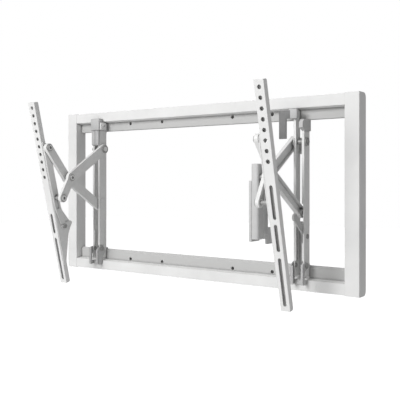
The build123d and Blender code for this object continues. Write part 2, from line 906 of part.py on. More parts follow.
def side_pieces(side):
    pieces = {
        "hanger_channel": make_hanger(side),
        "head_casting": make_head(),
        "level_bolt": make_level_bolt(),
        "hanger_cap": make_cap(),
        "top_pivot_bolt": make_top_pivot(),
        "top_pivot_nut": make_top_nut(),
        "long_arm": make_long_arm(),
        "short_arm": make_short_arm(),
        "slider_pin": make_slider_pin(),
        "cross_pin": make_cross_pin(side),
        "cross_spacer": make_cross_spacer(),
        "cross_nut": make_cross_nut(),
        "low_pin": make_low_pin(),
        "tilt_carrier": make_carrier(),
        "tv_pin": make_tv_pin(),
        "tv_pin_clip": make_tv_pin_clip(),
        "tilt_plate": make_tilt_plate(),
        "tilt_bolt": make_tilt_bolt(),
        "tilt_nut": make_tilt_nut(),
        "tv_rail": make_tv_rail(side),
        "foot_latch": make_latch(),
        "latch_rivets": make_latch_rivets(),
    }
    if side > 0:
        pieces["stay_lever"] = make_stay()
        pieces["stay_rivet"] = make_stay_rivet()
        pieces["housing"] = make_housing()
        pieces["housing_cover"] = make_housing_cover()
    return pieces


os.makedirs("parts", exist_ok=True)
save("top_rail", make_rail(1, False))
save("bottom_rail", make_rail(-1, True))
save("left_stile", make_stile(-1))
save("right_stile", make_stile(1))
save("frame_screws", make_frame_screws())
save("wall_sleeves", make_sleeves())
for side_name, side_sign in (("left", -1), ("right", 1)):
    for piece_name, piece_shape in side_pieces(side_sign).items():
        save(side_name + "_" + piece_name, placed(piece_shape, side_sign))
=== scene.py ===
import bpy
import bmesh
import json
import math
from mathutils import Matrix, Vector


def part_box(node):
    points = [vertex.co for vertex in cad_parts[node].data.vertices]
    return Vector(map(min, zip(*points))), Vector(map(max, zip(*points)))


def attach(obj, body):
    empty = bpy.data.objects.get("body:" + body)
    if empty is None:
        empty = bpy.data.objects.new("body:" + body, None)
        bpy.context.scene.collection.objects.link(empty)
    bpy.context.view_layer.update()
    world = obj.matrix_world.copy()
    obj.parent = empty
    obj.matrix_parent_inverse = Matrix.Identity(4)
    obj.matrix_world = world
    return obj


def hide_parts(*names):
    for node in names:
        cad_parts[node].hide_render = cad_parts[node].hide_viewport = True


# Pull-out tilting television wall bracket.
# In the CAD frame: X runs along the wall, -Y points into the room, +Z is up.
# Sizes and places are in millimetres, and become metres where a piece or a finish is made.
# Angles are in degrees. The camera, the floor and the lights are placed in metres.

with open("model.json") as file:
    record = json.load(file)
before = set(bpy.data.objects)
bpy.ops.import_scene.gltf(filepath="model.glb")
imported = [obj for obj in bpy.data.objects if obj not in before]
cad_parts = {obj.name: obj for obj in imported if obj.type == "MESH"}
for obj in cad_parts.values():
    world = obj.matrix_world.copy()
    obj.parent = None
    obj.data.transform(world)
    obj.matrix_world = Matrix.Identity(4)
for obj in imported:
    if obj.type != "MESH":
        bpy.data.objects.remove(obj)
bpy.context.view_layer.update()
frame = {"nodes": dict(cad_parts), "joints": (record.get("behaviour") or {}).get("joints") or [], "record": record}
MM = 0.001


# Places read from the frame
def joint_place(name):
    """The (X, Y, Z) place of a joint."""
    joint = next(joint for joint in frame["joints"] if joint["name"] == name)
    return [value / MM for value in joint["pos_m"]]


def middle_of(node):
    """The (X, Y, Z) middle of a CAD node."""
    low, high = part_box(node)
    return [(start + end) / 2 / MM for start, end in zip(low, high)]


# Each side's rail middle along the wall, and which way is inboard
side_places = {"left": (joint_place("left_tilt")[0], 1), "right": (joint_place("right_tilt")[0], -1)}

# Pivots and bolts as (Y, Z), the same on both sides
pivot_top = joint_place("left_scissor")[1:]
pivot_cross = joint_place("left_cross_turn")[1:]
pivot_tv = joint_place("left_tilt")[1:]
pivot_latch = joint_place("left_latch_swing")[1:]
pivot_low = middle_of("left_low_pin")[1:]
tilt_bolt = middle_of("left_tilt_bolt")[1:]
level_bolt = middle_of("left_level_bolt")[1:]

# Clearances and hole sizes repeated from the part
slide_gap = 0.3
pin_gap = 0.05
press_gap = 0.02
pivot_radius = 5.0
low_pin_radius = 4.5
tilt_bolt_radius = 3.0
latch_rivet_radius = 3.0

# Frame screws, and the two ports at each end of a rail as (Y, Z)
stile_wall = 2.5
front_port = (-25.5, 193.5)
back_port = (-4.6, 171.4)
screw_head_radius = 4.6
screw_head_height = 2.6
screw_shank_radius = 2.1
screw_shank_length = 16.0

# Television rails, measured from the top front edge, and their back lips
rail_tilt = 13.2
rail_half_width = 10.5
rail_length = 445.0
tv_pin_along = 109.754
tv_pin_behind = 10.31
lip_behind = (10.6, 12.0)
lip_across = (3.0, 8.6)
lip_setback = 1.0
clip_opening = (99.0, 121.0)

# Welded tilt plates, and the stitches of weld along their front edge
plate_top = 92.0
plate_low = 402.0
plate_inset = 1.5
plate_back = 9.4
tilt_plate_sheet = 2.0
tilt_forward = 1
tilt_back = 6
weld_first = 128.0
weld_last = 335.0
weld_stitch = 22.0
weld_spacing = 46.0

# Tilt carriers
carrier_sheet = 2.5
foot_inset = 0.02
foot_reach = 5.8

# Hangers, head castings, level bolts and slot guards
hanger_outer = 8.0
hanger_inner = 32.0
head_front = -48.0
head_back = -39.0
head_low = 154.5
head_inner = 37.0
cheek_back = -15.8
head_outer = {"left": 8.0, "right": 20.0}
head_top = {"left": 184.5, "right": 174.5}
head_join = 156.0
apron_front = -42.8
apron_low = 116.5
apron_panels = ((8.4, 19.0), (21.0, 31.6))
panel_depth = (-44.0, -42.0)
wing_blocks = (
    ((36.0, 62.0), (-48.0, -45.0), (154.5, 171.5), 1.3, 1.0),
    ((44.0, 62.0), (-47.9, -45.1), (113.0, 156.0), 1.3, 1.0),
    ((47.0, 59.0), (-48.4, -47.0), (117.0, 167.0), 0.6, 0.6),
)
level_half_width = 9.5
level_face = 40.8
level_boss_radius = 6.8
level_boss_across = (40.2, 42.2)
level_socket_radius = 3.4
guard_half_width = 7.0
guard_levels = (-18.0, -137.0)
guard_sunk = 0.1
guard_proud = 1.1

# Rings and discs on the pivot heads
ring_hole = 3.3
top_disc_across = (42.5, 43.7)
long_arm_ring_across = (42.9, 43.7)
carrier_ring_across = (27.9, 28.6)

# Foot latches
latch_sheet = 2.5
latch_front = -49.0
latch_low = -186.0
latch_lip_back = -46.5
latch_lip_width = 6.0
bridge_depth = (-36.2, -33.2)
bridge_top = -177.0

# Closed housing, across from the right rail's middle
housing_near = 49.0
housing_far = 66.0
housing_front = -152.5
housing_back = -112.0
housing_low = -88.0
housing_top = 60.0
housing_seam = -131.0
seam_half_width = 0.6
seam_depth = 1.2
core_setback = 6.0
foot_blocks = (
    ((49.0, 55.0), (-117.0, -94.0), (-99.0, -66.0), 2.5),
    ((48.5, 53.8), (-110.0, -99.0), (-94.0, -71.0), 2.0),
)
rib_count = 3
rib_first = -126.0
rib_spacing = 4.5
rib_middle = -20.0
rib_length = 118.0
rib_sunk = 0.2
cover_far = 73.5
cover_depth = (-148.5, -116.0)
cover_height = (-93.0, 27.0)

# The angle above which an edge stays crisp, and a screw's largest curved face in square millimetres
smooth_angle = 35
largest_curved_face = 4.0

# Colours that several finishes share, the near-black of the painted crevice shade among them, and the depth over
# which a rail's recess is painted darker as shade
dust_colour = (0.83, 0.82, 0.80)
rubbed_zinc = (0.80, 0.80, 0.79)
painted_shade_colour = (0.12, 0.12, 0.12)
recess_shade_span = (-22.0, -16.0)

# A mix node's two colours and its result, which share their names with its other sockets
mix_first = 6
mix_second = 7
mix_result = 2


# Camera at the photograph's viewing angle
def make_camera():
    data = bpy.data.cameras.new("camera")
    data.sensor_width = 36
    data.lens = 60.4
    data.shift_y = -0.05
    data.clip_end = 50
    camera = bpy.data.objects.new("camera", data)
    camera.location = (0.9245, -1.2709, 0.0282)
    camera.rotation_euler = (math.radians(90), 0, math.radians(36))
    bpy.context.scene.collection.objects.link(camera)
    bpy.context.scene.camera = camera


# Shader building blocks
class Nodes:
    """Adds nodes to a tree and links them by socket name."""

    def __init__(self, tree):
        self.tree = tree

    def add(self, kind, values=(), **settings):
        node = self.tree.nodes.new(kind)
        for key, value in settings.items():
            setattr(node, key, value)
        for socket, value in dict(values).items():
            if isinstance(value, bpy.types.NodeSocket):
                self.tree.links.new(value, node.inputs[socket])
            else:
                node.inputs[socket].default_value = value
        return node

    def math(self, operation, first, second=0.0, clamp=False):
        node = self.add("ShaderNodeMath", {0: first, 1: second}, operation=operation)
        node.use_clamp = clamp
        return node.outputs[0]

    def noise(self, vector, scale, detail=3.0, roughness=0.5):
        values = {"Vector": vector, "Scale": scale, "Detail": detail, "Roughness": roughness}
        return self.add("ShaderNodeTexNoise", values).outputs["Fac"]

    def ramp(self, value, low, high):
        """A value's place between two limits, from 0 to 1."""
        values = {"Value": value, "From Min": low, "From Max": high}
        return self.add("ShaderNodeMapRange", values).outputs["Result"]

    def between(self, share, low, high):
        """The number at a share of the way between two limits."""
        values = {"Value": share, "To Min": low, "To Max": high}
        return self.add("ShaderNodeMapRange", values).outputs["Result"]


def new_group(name, inputs, outputs):
    """A shader node group with float inputs, its node adder and its two ends."""
    tree = bpy.data.node_groups.new(name, "ShaderNodeTree")
    for label, value in inputs:
        socket = tree.interface.new_socket(name=label, in_out="INPUT", socket_type="NodeSocketFloat")
        socket.default_value = value
    for label, kind in outputs:
        tree.interface.new_socket(name=label, in_out="OUTPUT", socket_type=kind)
    nodes = Nodes(tree)
    start = tree.nodes.new("NodeGroupInput")
    end = tree.nodes.new("NodeGroupOutput")
    return tree, nodes, start.outputs, end.inputs


def edge_wear_group():
    """Where a piece's edges are rubbed, and its softened edge normal."""
    inputs = (("Radius", 1.0 * MM), ("Break Up", 180.0), ("Amount", 0.5))
    outputs = (("Mask", "NodeSocketFloat"), ("Normal", "NodeSocketVector"))
    tree, nodes, given, result = new_group("edge wear", inputs, outputs)
    place = nodes.add("ShaderNodeTexCoord").outputs["Object"]
    soft = nodes.add("ShaderNodeBevel", {"Radius": given["Radius"]}, samples=6)
    hard = nodes.add("ShaderNodeNewGeometry")
    turned_away = nodes.add("ShaderNodeVectorMath", operation="DOT_PRODUCT")
    tree.links.new(soft.outputs["Normal"], turned_away.inputs[0])
    tree.links.new(hard.outputs["Normal"], turned_away.inputs[1])
    edge = nodes.ramp(turned_away.outputs["Value"], 0.995, 0.80)
    patches = nodes.noise(place, given["Break Up"], detail=4.0, roughness=0.6)
    patches = nodes.ramp(patches, 0.42, 0.62)
    worn = nodes.math("MULTIPLY", edge, patches)
    worn = nodes.math("MULTIPLY", worn, given["Amount"], clamp=True)
    tree.links.new(worn, result["Mask"])
    tree.links.new(soft.outputs["Normal"], result["Normal"])
    return tree


def crevice_shade_group():
    """Painted shade: darker in corners, creases and around heads, from ambient occlusion broken up in patches, the
    same from any side.
    """
    inputs = (("Reach", 6.0 * MM), ("Amount", 0.6))
    outputs = (("Mask", "NodeSocketFloat"),)
    tree, nodes, given, result = new_group("crevice grime", inputs, outputs)
    place = nodes.add("ShaderNodeTexCoord").outputs["Object"]
    open_air = nodes.add("ShaderNodeAmbientOcclusion", {"Distance": given["Reach"]}, samples=8)
    closed = nodes.ramp(open_air.outputs["AO"], 0.85, 0.25)
    patches = nodes.noise(place, 260.0, detail=4.0, roughness=0.6)
    patches = nodes.ramp(patches, 0.15, 0.55)
    shading = nodes.math("MULTIPLY", closed, patches)
    shading = nodes.math("MULTIPLY", shading, given["Amount"], clamp=True)
    tree.links.new(shading, result["Mask"])
    return tree


def powder_group():
    """Powder coat: fine orange peel, faint cloudiness and a little settled dust."""
    inputs = (("Peel Scale", 900.0), ("Cloud Scale", 9.0), ("Dust", 0.5))
    outputs = (("Height", "NodeSocketFloat"), ("Tone", "NodeSocketFloat"), ("Dust", "NodeSocketFloat"))
    tree, nodes, given, result = new_group("powder coat", inputs, outputs)
    place = nodes.add("ShaderNodeTexCoord").outputs["Object"]
    peel = nodes.noise(place, given["Peel Scale"], detail=2.0, roughness=0.45)
    cloud = nodes.noise(place, given["Cloud Scale"], detail=4.0, roughness=0.6)
    facing = nodes.add("ShaderNodeNewGeometry").outputs["Normal"]
    facing_up = nodes.add("ShaderNodeSeparateXYZ", {0: facing}).outputs["Z"]
    flat = nodes.ramp(facing_up, 0.25, 0.95)
    specks = nodes.ramp(nodes.noise(place, 420.0, detail=5.0, roughness=0.7), 0.45, 0.62)
    dust = nodes.math("MULTIPLY", flat, specks)
    dust = nodes.math("MULTIPLY", dust, given["Dust"], clamp=True)
    tree.links.new(peel, result["Height"])
    tree.links.new(nodes.ramp(cloud, 0.3, 0.7), result["Tone"])
    tree.links.new(dust, result["Dust"])
    return tree


def zinc_group():
    """Zinc plating: a faint bloom of crystals under fine rolling marks."""
    inputs = (("Bloom Scale", 160.0), ("Mark Scale", 55.0))
    outputs = (("Tone", "NodeSocketFloat"), ("Height", "NodeSocketFloat"))
    tree, nodes, given, result = new_group("zinc plating", inputs, outputs)
    place = nodes.add("ShaderNodeTexCoord").outputs["Object"]
    crystals = nodes.add("ShaderNodeTexVoronoi", {"Vector": place, "Scale": given["Bloom Scale"]})
    bloom = nodes.add("ShaderNodeSeparateColor", {0: crystals.outputs["Color"]}).outputs[0]
    stretched = nodes.add("ShaderNodeMapping", {"Vector": place, "Scale": (1.0, 1.0, 14.0)})
    marks = nodes.noise(stretched.outputs[0], given["Mark Scale"], detail=4.0, roughness=0.65)
    cloud = nodes.noise(place, 30.0, detail=3.0, roughness=0.5)
    tone = nodes.math("MULTIPLY", bloom, 0.22)
    tone = nodes.math("ADD", tone, nodes.math("MULTIPLY", marks, 0.4))
    tone = nodes.math("ADD", tone, nodes.math("MULTIPLY", cloud, 0.4))
    tree.links.new(tone, result["Tone"])
    tree.links.new(marks, result["Height"])
    return tree


def grain_group():
    """Moulded or cast skin: a pebbled grain with larger soft unevenness."""
    inputs = (("Grain Scale", 700.0), ("Wave Scale", 60.0))
    outputs = (("Tone", "NodeSocketFloat"), ("Height", "NodeSocketFloat"))
    tree, nodes, given, result = new_group("pebbled skin", inputs, outputs)
    place = nodes.add("ShaderNodeTexCoord").outputs["Object"]
    pebbles = nodes.add("ShaderNodeTexVoronoi", {"Vector": place, "Scale": given["Grain Scale"]})
    pebble = pebbles.outputs["Distance"]
    wave = nodes.noise(place, given["Wave Scale"], detail=4.0, roughness=0.6)
    height = nodes.math("ADD", pebble, nodes.math("MULTIPLY", wave, 1.5))
    wave_tone = nodes.math("MULTIPLY", wave, 0.8)
    tone = nodes.math("ADD", wave_tone, nodes.math("MULTIPLY", pebble, 0.3))
    tree.links.new(tone, result["Tone"])
    tree.links.new(height, result["Height"])
    return tree


def start_material(name):
    material = bpy.data.materials.new(name)
    material.use_nodes = True
    nodes = Nodes(material.node_tree)
    surface = material.node_tree.nodes["Principled BSDF"]
    return material, nodes, surface


def group_node(nodes, group, **values):
    node = nodes.add("ShaderNodeGroup", node_tree=group)
    for label, value in values.items():
        node.inputs[label.replace("_", " ")].default_value = value
    return node.outputs


def mixed(nodes, factor, first, second):
    """A colour between two colours, by a factor."""
    mix = nodes.add("ShaderNodeMix", data_type="RGBA")
    nodes.tree.links.new(factor, mix.inputs["Factor"])
    for slot, value in ((mix_first, first), (mix_second, second)):
        if isinstance(value, bpy.types.NodeSocket):
            nodes.tree.links.new(value, mix.inputs[slot])
        else:
            mix.inputs[slot].default_value = (*value, 1.0)
    return mix.outputs[mix_result]


def finish_surface(nodes, surface, colour, roughness, height, normal, depth):
    """Link a finish to the surface, its height as a bump of a depth in millimetres."""
    bump = nodes.add("ShaderNodeBump", {"Distance": depth * MM, "Height": height, "Normal": normal})
    bump.inputs["Strength"].default_value = 0.8
    nodes.tree.links.new(colour, surface.inputs["Base Color"])
    nodes.tree.links.new(roughness, surface.inputs["Roughness"])
    nodes.tree.links.new(bump.outputs["Normal"], surface.inputs["Normal"])


def grey(level):
    return (level, level, level)


def warm_grey(level):
    """A grey with a trace less blue."""
    return (level, level, level - 0.005)


# Painted shade: darkens a colour towards near-black where ambient occlusion finds corners, creases and joints.
def crevice_shaded(nodes, colour, amount):
    shading = group_node(nodes, crevice, Amount=amount)
    return mixed(nodes, shading["Mask"], colour, painted_shade_colour)


def coated(name, light, dark, bare, dust_amount, wear, recess_shade_tone=None):
    """Powder coat, rubbed at its edges, with painted shade in its crevices, and painted shade darkening its recess
    where a tone for it is given.
    """
    material, nodes, surface = start_material(name)
    coat = group_node(nodes, powder, Dust=dust_amount)
    edge = group_node(nodes, edge_wear, Radius=0.9 * MM, Amount=wear)
    colour = mixed(nodes, coat["Tone"], dark, light)
    colour = mixed(nodes, coat["Dust"], colour, dust_colour)
    colour = mixed(nodes, edge["Mask"], colour, bare)
    # Painted shade: the coat darkens towards the recess tone the further it lies back behind the rail's front
    # face.
    if recess_shade_tone:
        place = nodes.add("ShaderNodeTexCoord").outputs["Object"]
        depth = nodes.add("ShaderNodeSeparateXYZ", {0: place}).outputs["Y"]
        depth = nodes.ramp(depth, recess_shade_span[0] * MM, recess_shade_span[1] * MM)
        colour = mixed(nodes, depth, colour, recess_shade_tone)
    # Painted shade in crevices and around heads.
    colour = crevice_shaded(nodes, colour, 0.85)
    roughness = nodes.ramp(coat["Tone"], -1.2, 2.2)
    finish_surface(nodes, surface, colour, roughness, coat["Height"], edge["Normal"], 0.06)
    surface.inputs["Specular IOR Level"].default_value = 0.45
    return material


def plated(name, light, dark, metallic, rough_low, rough_high, wear):
    """Zinc-plated steel."""
    material, nodes, surface = start_material(name)
    zinc = group_node(nodes, zinc_plate)
    edge = group_node(nodes, edge_wear, Radius=0.6 * MM, Amount=wear)
    colour = mixed(nodes, zinc["Tone"], dark, light)
    colour = mixed(nodes, edge["Mask"], colour, rubbed_zinc)
    # Painted shade in crevices and around heads.
    colour = crevice_shaded(nodes, colour, 0.75)
    roughness = nodes.between(zinc["Tone"], rough_high, rough_low)
    finish_surface(nodes, surface, colour, roughness, zinc["Height"], edge["Normal"], 0.05)
    surface.inputs["Metallic"].default_value = metallic
    return material


def grained(name, light, dark, worn, grain_scale, depth, wear, rough):
    """Coated casting or moulded plastic with a pebbled skin."""
    material, nodes, surface = start_material(name)
    skin = group_node(nodes, pebbled, Grain_Scale=grain_scale)
    edge = group_node(nodes, edge_wear, Radius=0.8 * MM, Amount=wear)
    colour = mixed(nodes, skin["Tone"], dark, light)
    colour = mixed(nodes, edge["Mask"], colour, worn)
    # Painted shade in crevices and around heads.
    colour = crevice_shaded(nodes, colour, 0.7)
    roughness = nodes.between(skin["Tone"], rough - 0.08, rough + 0.12)
    finish_surface(nodes, surface, colour, roughness, skin["Height"], edge["Normal"], depth)
    return material


edge_wear = edge_wear_group()
crevice = crevice_shade_group()
powder = powder_group()
zinc_plate = zinc_group()
pebbled = grain_group()


# Finishes, each with its light tone before its dark one
def make_finishes():
    frame_tones = {
        "light": warm_grey(0.78),
        "dark": warm_grey(0.70),
        "bare": grey(0.60),
        "dust_amount": 0.35,
        "wear": 0.35,
    }
    rail_tones = {
        "light": warm_grey(0.80),
        "dark": warm_grey(0.73),
        "bare": grey(0.58),
        "dust_amount": 0.25,
        "wear": 0.45,
    }
    cast = {"grain_scale": 650.0, "depth": 0.12}
    arms = {"metallic": 0.06, "rough_low": 0.38, "rough_high": 0.55, "wear": 0.5}
    bolts = {"metallic": 0.25, "rough_low": 0.36, "rough_high": 0.55, "wear": 0.8}
    bright = {"metallic": 0.05, "rough_low": 0.34, "rough_high": 0.52, "wear": 0.6}
    plastic = {"grain_scale": 900.0, "depth": 0.08, "wear": 0.3, "rough": 0.5}
    return {
        "frame_coat": coated("frame powder coat", **frame_tones),
        # Frame powder coat with painted shade in the rails' recess.
        "recess_shaded_coat": coated("frame rail powder coat", recess_shade_tone=warm_grey(0.52), **frame_tones),
        "rail_coat": coated("rail powder coat", **rail_tones),
        "arm_steel": plated("plated arm steel", warm_grey(0.84), warm_grey(0.68), **arms),
        "casting": grained(
            "coated casting", grey(0.58), grey(0.38), grey(0.78), wear=0.7, rough=0.5, **cast
        ),
        "dark_casting": grained(
            "dark pressed wing", grey(0.22), grey(0.12), grey(0.5), wear=0.6, rough=0.55, **cast
        ),
        "bolt_zinc": plated("plated bolts", warm_grey(0.42), warm_grey(0.26), **bolts),
        "bright_zinc": plated("plated level bolts", warm_grey(0.90), warm_grey(0.74), **bright),
        "housing_plastic": grained("housing plastic", grey(0.62), grey(0.46), grey(0.74), **plastic),
    }


finishes = make_finishes()


def dress_nodes():
    """Give every CAD node the finish of its slot; the two long rails get painted shade in their recess."""
    for entry in frame["record"]["subparts"]:
        finish = entry["material_slot"]
        if entry["node"] in ("top_rail", "bottom_rail"):
            finish = "recess_shaded_coat"
        node = frame["nodes"][entry["node"]]
        node.data.materials.clear()
        node.data.materials.append(finishes[finish])


# Geometry Nodes building blocks
def new_tree(name, sizes):
    """A geometry tree with named size inputs, its node adder and its two ends."""
    tree = bpy.data.node_groups.new(name, "GeometryNodeTree")
    tree.interface.new_socket(name="Geometry", in_out="INPUT", socket_type="NodeSocketGeometry")
    for label, value in sizes:
        socket = tree.interface.new_socket(name=label, in_out="INPUT", socket_type="NodeSocketFloat")
        socket.default_value = value * MM
    tree.interface.new_socket(name="Geometry", in_out="OUTPUT", socket_type="NodeSocketGeometry")
    nodes = Nodes(tree)
    start = tree.nodes.new("NodeGroupInput")
    end = tree.nodes.new("NodeGroupOutput")
    return tree, nodes, start.outputs, end.inputs


def end_tree(tree, nodes, result, geometry, finish):
    """Every tree ends in real geometry with its finish on."""
    real = nodes.add("GeometryNodeRealizeInstances", {"Geometry": geometry}).outputs[0]
    dressed = nodes.add("GeometryNodeSetMaterial", {"Geometry": real})
    dressed.inputs["Material"].default_value = finishes[finish]
    tree.links.new(dressed.outputs[0], result["Geometry"])


def up(nodes, height):
    """A vector that points up by a height."""
    return nodes.add("ShaderNodeCombineXYZ", {"Z": height}).outputs[0]


def drum(nodes, radius, height, start, sides=28):
    """A closed upright cylinder from a start height, and its top face's selection."""
    values = {"Vertices": sides, "Radius": radius, "Depth": height}
    mesh = nodes.add("GeometryNodeMeshCylinder", values, fill_type="NGON")
    lift = nodes.math("ADD", nodes.math("MULTIPLY", height, 0.5), start)
    values = {"Geometry": mesh.outputs["Mesh"], "Translation": up(nodes, lift)}
    moved = nodes.add("GeometryNodeTransform", values)
    return moved.outputs[0], mesh.outputs["Top"]


def screw_tree():
    """Domed screws with a hex socket, one at each point, turned by its attribute."""
    rim_share = 0.35
    dome_steps = ((0.30, 0.93), (0.22, 0.84), (0.13, 0.72))
    socket_share = 0.36
    socket_start = 0.5
    socket_height = 4.0
    shank_overlap = 0.3
    sizes = (
        ("Head Radius", screw_head_radius),
        ("Head Height", screw_head_height),
        ("Shank Radius", screw_shank_radius),
        ("Shank Length", screw_shank_length),
    )
    tree, nodes, given, result = new_tree("domed screws", sizes)
    rise = nodes.math("MULTIPLY", given["Head Height"], rim_share)
    head, top = drum(nodes, given["Head Radius"], rise, 0.0)
    for share, scale in dome_steps:
        step = nodes.math("MULTIPLY", given["Head Height"], share)
        values = {"Mesh": head, "Selection": top, "Offset": up(nodes, step), "Individual": False}
        ring = nodes.add("GeometryNodeExtrudeMesh", values, mode="FACES")
        top = ring.outputs["Top"]
        values = {"Geometry": ring.outputs["Mesh"], "Selection": top, "Scale": scale}
        head = nodes.add("GeometryNodeScaleElements", values, domain="FACE").outputs[0]
    sunk = nodes.math("MULTIPLY", given["Shank Length"], -1.0)
    length = nodes.math("ADD", given["Shank Length"], shank_overlap * MM)
    shank, _ = drum(nodes, given["Shank Radius"], length, sunk, 16)
    whole = nodes.add("GeometryNodeMeshBoolean", operation="UNION")
    for part in (head, shank):
        tree.links.new(part, whole.inputs["Mesh 2"])
    deep = nodes.math("MULTIPLY", given["Head Height"], socket_start)
    socket_radius = nodes.math("MULTIPLY", given["Head Radius"], socket_share)
    socket, _ = drum(nodes, socket_radius, socket_height * MM, deep, 6)
    values = {"Mesh 1": whole.outputs["Mesh"], "Mesh 2": socket}
    screw = nodes.add("GeometryNodeMeshBoolean", values, operation="DIFFERENCE")
    turn = nodes.add("GeometryNodeInputNamedAttribute", {"Name": "turn"}, data_type="FLOAT_VECTOR")
    turn = nodes.add("FunctionNodeEulerToRotation", {"Euler": turn.outputs["Attribute"]}).outputs[0]
    points = nodes.add("GeometryNodeMeshToPoints", {"Mesh": given["Geometry"]}).outputs[0]
    values = {"Points": points, "Instance": screw.outputs["Mesh"], "Rotation": turn}
    screws = nodes.add("GeometryNodeInstanceOnPoints", values).outputs[0]
    end_tree(tree, nodes, result, screws, "bolt_zinc")
    return tree


def weld_tree():
    """A row of overlapping weld ripples along each line."""
    sizes = (("Pitch", 1.4), ("Bead Width", 1.6), ("Bead Height", 0.9))
    smallest, largest = 0.82, 1.18
    tree, nodes, given, result = new_tree("weld beads", sizes)
    line = nodes.add("GeometryNodeMeshToCurve", {"Mesh": given["Geometry"]}).outputs[0]
    values = {"Curve": line, "Length": given["Pitch"]}
    line = nodes.add("GeometryNodeResampleCurve", values, mode="LENGTH").outputs[0]
    along = nodes.add("GeometryNodeInputTangent").outputs[0]
    turn = nodes.add("FunctionNodeAlignRotationToVector", {"Vector": along}, axis="Z").outputs[0]
    values = {"Segments": 10, "Rings": 7, "Radius": 1.0}
    ripple = nodes.add("GeometryNodeMeshUVSphere", values).outputs["Mesh"]
    values = {"X": given["Bead Height"], "Y": given["Bead Width"], "Z": given["Pitch"]}
    size = nodes.add("ShaderNodeCombineXYZ", values).outputs[0]
    values = {2: smallest, 3: largest, "Seed": 11}
    vary = nodes.add("FunctionNodeRandomValue", values, data_type="FLOAT").outputs[1]
    size = nodes.add("ShaderNodeVectorMath", {0: size, "Scale": vary}, operation="SCALE").outputs[0]
    values = {"Points": line, "Instance": ripple, "Rotation": turn, "Scale": size}
    beads = nodes.add("GeometryNodeInstanceOnPoints", values).outputs[0]
    end_tree(tree, nodes, result, beads, "rail_coat")
    return tree


def rib_tree():
    """Upright round ribs, one at each point."""
    sizes = (("Rib Length", 100.0), ("Rib Radius", 1.2))
    tree, nodes, given, result = new_tree("moulded ribs", sizes)
    rise = nodes.math("MULTIPLY", given["Rib Length"], 0.5)
    sunk = nodes.math("MULTIPLY", rise, -1.0)
    values = {"Start": up(nodes, sunk), "End": up(nodes, rise)}
    line = nodes.add("GeometryNodeCurvePrimitiveLine", values).outputs[0]
    values = {"Resolution": 14, "Radius": given["Rib Radius"]}
    ring = nodes.add("GeometryNodeCurvePrimitiveCircle", values).outputs[0]
    values = {"Curve": line, "Profile Curve": ring, "Fill Caps": True}
    rib = nodes.add("GeometryNodeCurveToMesh", values).outputs[0]
    points = nodes.add("GeometryNodeMeshToPoints", {"Mesh": given["Geometry"]}).outputs[0]
    ribs = nodes.add("GeometryNodeInstanceOnPoints", {"Points": points, "Instance": rib}).outputs[0]
    end_tree(tree, nodes, result, ribs, "housing_plastic")
    return tree


def grown(name, tree, places, edges=(), turns=(), **sizes):
    """Run a tree on a few points, with sizes of its own, and keep what it makes as a plain mesh."""
    seed = bpy.data.meshes.new(name + "_places")
    seed.from_pydata([[value * MM for value in place] for place in places], edges, [])
    if turns:
        attribute = seed.attributes.new("turn", "FLOAT_VECTOR", "POINT")
        for item, turn in zip(attribute.data, turns):
            item.vector = turn
    holder = bpy.data.objects.new(name + "_places", seed)
    bpy.context.scene.collection.objects.link(holder)
    modifier = holder.modifiers.new("grow", "NODES")
    modifier.node_group = tree
    for label, value in sizes.items():
        socket = tree.interface.items_tree[label.replace("_", " ")]
        modifier[socket.identifier] = value * MM
    view = holder.evaluated_get(bpy.context.evaluated_depsgraph_get())
    mesh = bpy.data.meshes.new_from_object(view)
    mesh.name = name
    holder.modifiers.remove(modifier)
    bpy.data.objects.remove(holder)
    piece = bpy.data.objects.new(name, mesh)
    bpy.context.scene.collection.objects.link(piece)
    return piece


# Frame screws, through the stiles into the rails' screw ports
def make_frame_screws():
    stile_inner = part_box("right_stile")[0].x / MM
    seat = stile_inner + stile_wall
    places = []
    turns = []
    for side in (-1, 1):
        for y, z in (front_port, back_port):
            for level in (-1, 1):
                places.append((side * seat, y, level * z))
                turns.append((0, side * math.pi / 2, 0))
    screws = grown("frame_screw_set", screw_tree(), places, turns=turns)
    for face in screws.data.polygons:
        face.use_smooth = face.area < largest_curved_face * MM ** 2
    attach(screws, "wall_frame")
    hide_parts("frame_screws")


# Places on a side and outlines drawn as (Y, Z)
def across(side, span):
    """The X span between two distances inboard of a side's rail middle."""
    middle, inward = side_places[side]
    return sorted(middle + inward * distance for distance in span)


def on_rail(along, behind):
    """The (Y, Z) point on the tilted rail, from its top front edge."""
    tilt = math.radians(rail_tilt)
    down = along - tv_pin_along
    back = behind - tv_pin_behind
    y = pivot_tv[0] + down * math.sin(tilt) + back * math.cos(tilt)
    z = pivot_tv[1] - down * math.cos(tilt) + back * math.sin(tilt)
    return (y, z)


def turned(point, centre, degrees):
    """A (Y, Z) point turned about a centre."""
    angle = math.radians(degrees)
    y = point[0] - centre[0]
    z = point[1] - centre[1]
    new_y = centre[0] + y * math.cos(angle) - z * math.sin(angle)
    new_z = centre[1] + y * math.sin(angle) + z * math.cos(angle)
    return (new_y, new_z)


def circle(centre, radius, count=36):
    turns = [2 * math.pi * step / count for step in range(count)]
    return [(centre[0] + radius * math.cos(turn), centre[1] + radius * math.sin(turn)) for turn in turns]


def softened(points, radius, steps=5):
    """An outline with its corners turned into curves, each on less than half of its edges."""
    edge_parts = 2.2
    result = []
    for index, corner in enumerate(points):
        here = Vector(corner)
        before = Vector(points[index - 1]) - here
        after = Vector(points[(index + 1) % len(points)]) - here
        start = here + before.normalized() * min(radius, before.length / edge_parts)
        end = here + after.normalized() * min(radius, after.length / edge_parts)
        for step in range(steps + 1):
            share = step / steps
            result.append(start.lerp(here, share).lerp(here.lerp(end, share), share))
    return result


